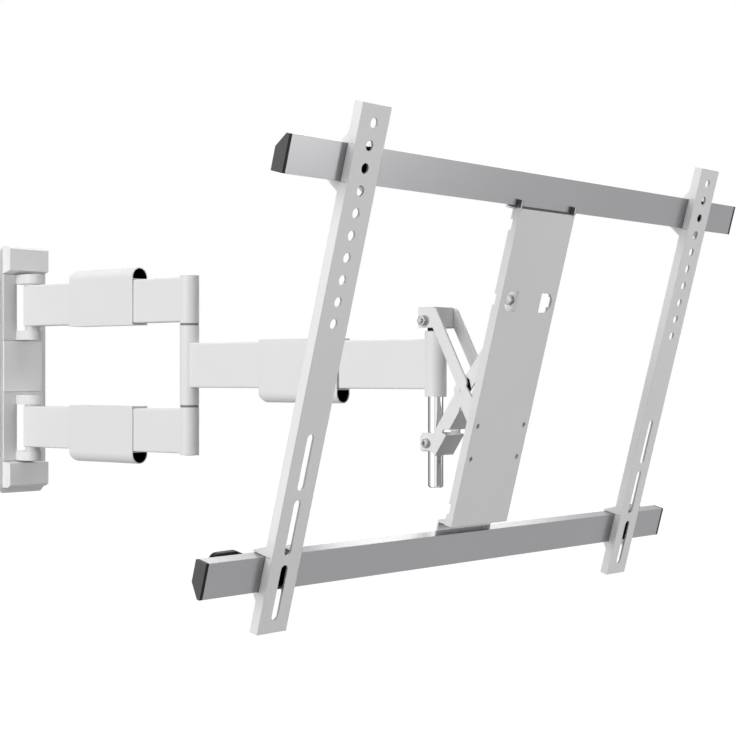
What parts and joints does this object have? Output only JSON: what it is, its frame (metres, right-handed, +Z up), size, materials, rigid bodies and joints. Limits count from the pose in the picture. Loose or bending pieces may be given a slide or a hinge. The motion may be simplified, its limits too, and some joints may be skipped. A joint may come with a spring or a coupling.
{
  "type": "swivel television wall mount",
  "caption": "Double-arm wall mount that folds at an elbow, swivels and tilts, with crossed tilt links, two cross bars and two sliding screen rails.",
  "frame": {"origin": "centre of the wall plate's back face, on the wall plane", "axes": "+Z up, +Y into the wall, the arms reach out towards -Y, +X to the right for someone facing the wall"},
  "size_m": [0.788, 0.8668, 0.4733],
  "materials": {
    "plate_steel": "satin powder coat",
    "cover_plastic": "smooth satin",
    "arm_steel": "satin powder coat",
    "sleeve_plastic": "smooth satin",
    "pin_steel": "plated",
    "light_cap": "satin",
    "bushing_plastic": "matt",
    "post_chrome": "polished",
    "block_steel": "satin powder coat",
    "link_steel": "satin powder coat",
    "bolt_zinc": "zinc plated",
    "tilt_steel": "satin powder coat",
    "screw_steel": "zinc plated",
    "bar_aluminium": "anodised, satin",
    "bar_cap_plastic": "matt",
    "rail_steel": "satin powder coat",
    "black_plastic": "matt",
    "lever_pin_steel": "plated"
  },
  "bodies": {
    "wall": {"wall_plate": "plate_steel", "centre_cover": "cover_plastic", "top_cap": "cover_plastic", "bottom_cap": "cover_plastic", "wall_pins": "pin_steel", "arm_spacers": "pin_steel"},
    "first_arms": {"upper_arm": "arm_steel", "lower_arm": "arm_steel", "upper_sleeve": "sleeve_plastic", "lower_sleeve": "sleeve_plastic", "elbow_pin": "pin_steel", "elbow_washers": "light_cap", "barrel_caps": "light_cap"},
    "second_arm": {"second_arm": "arm_steel", "second_sleeve": "sleeve_plastic", "post_bushings": "bushing_plastic"},
    "tilt_head": {"tilt_post": "post_chrome", "post_block": "block_steel", "upper_link_bolt": "bolt_zinc", "upper_link_nut": "bolt_zinc", "upper_link_washers": "bolt_zinc"},
    "upper_link": {"upper_tilt_link": "link_steel", "crossing_rivets": "bolt_zinc", "lower_front_pin": "pin_steel"},
    "lower_link": {"lower_tilt_link": "link_steel"},
    "slide_block": {"slide_block": "block_steel", "lower_link_bolts": "bolt_zinc"},
    "screen_panel": {"tilt_plate": "tilt_steel", "pivot_bracket": "tilt_steel", "bracket_screws": "screw_steel", "ear_bolt": "bolt_zinc", "ear_nut": "bolt_zinc", "ear_spacers": "pin_steel", "top_bar": "bar_aluminium", "bottom_bar": "bar_aluminium", "top_bar_caps": "bar_cap_plastic", "bottom_bar_caps": "bar_cap_plastic", "top_holder": "tilt_steel", "bottom_holder": "tilt_steel", "holder_screws": "screw_steel", "clip_pads": "black_plastic"},
    "left_rail": {"left_rail": "rail_steel", "left_glides": "black_plastic", "left_retainer": "black_plastic", "left_lock_block": "black_plastic", "left_lever_pin": "lever_pin_steel"},
    "left_lever": {"left_lever": "black_plastic"},
    "right_rail": {"right_rail": "rail_steel", "right_glides": "black_plastic", "right_retainer": "black_plastic", "right_lock_block": "black_plastic", "right_lever_pin": "lever_pin_steel"},
    "right_lever": {"right_lever": "black_plastic"}
  },
  "joints": [
    {"name": "wall_swivel", "type": "hinge", "parent": "wall", "child": "first_arms", "pos_m": [0, -0.0257, 0], "axis": [0, 0, 1], "range_deg": [-90, 90]},
    {"name": "elbow", "type": "hinge", "parent": "first_arms", "child": "second_arm", "pos_m": [0, -0.3237, 0], "axis": [0, 0, -1], "range_deg": [-160, 160]},
    {"name": "head_swivel", "type": "hinge", "parent": "second_arm", "child": "tilt_head", "pos_m": [0, -0.7001, 0], "axis": [0, 0, 1], "range_deg": [-90, 90]},
    {"name": "screen_tilt", "type": "hinge", "parent": "tilt_head", "child": "upper_link", "pos_m": [0, -0.7001, 0.046], "axis": [1, 0, 0], "range_deg": [0, 15]},
    {"name": "link_crossing", "type": "hinge", "parent": "upper_link", "child": "lower_link", "pos_m": [0, -0.7455, -0.0273], "axis": [1, 0, 0], "range_deg": [-33.2, 0]},
    {"name": "screen_ears", "type": "hinge", "parent": "lower_link", "child": "screen_panel", "pos_m": [0, -0.811, 0.0649], "axis": [1, 0, 0], "range_deg": [0, 8.25]},
    {"name": "block_pivot", "type": "hinge", "parent": "lower_link", "child": "slide_block", "pos_m": [0, -0.7001, -0.0843], "axis": [1, 0, 0], "range_deg": [0, 18.2]},
    {"name": "left_rail_slide", "type": "slide", "parent": "screen_panel", "child": "left_rail", "axis": [1, 0, 0], "range_m": [-0.06, 0.2]},
    {"name": "left_lever_turn", "type": "hinge", "parent": "left_rail", "child": "left_lever", "pos_m": [-0.3, -0.72716, -0.19081], "axis": [0, -0.9659, -0.2588], "range_deg": [0, 90]},
    {"name": "right_rail_slide", "type": "slide", "parent": "screen_panel", "child": "right_rail", "axis": [-1, 0, 0], "range_m": [-0.06, 0.2]},
    {"name": "right_lever_turn", "type": "hinge", "parent": "right_rail", "child": "right_lever", "pos_m": [0.3, -0.72716, -0.19081], "axis": [0, 0.9659, 0.2588], "range_deg": [0, 90]}
  ],
  "couplings": [
    {"joint": "link_crossing", "follows": "screen_tilt", "ratio": -2.2132},
    {"joint": "screen_ears", "follows": "screen_tilt", "ratio": 0.54956},
    {"joint": "block_pivot", "follows": "screen_tilt", "ratio": 1.2132}
  ]
}
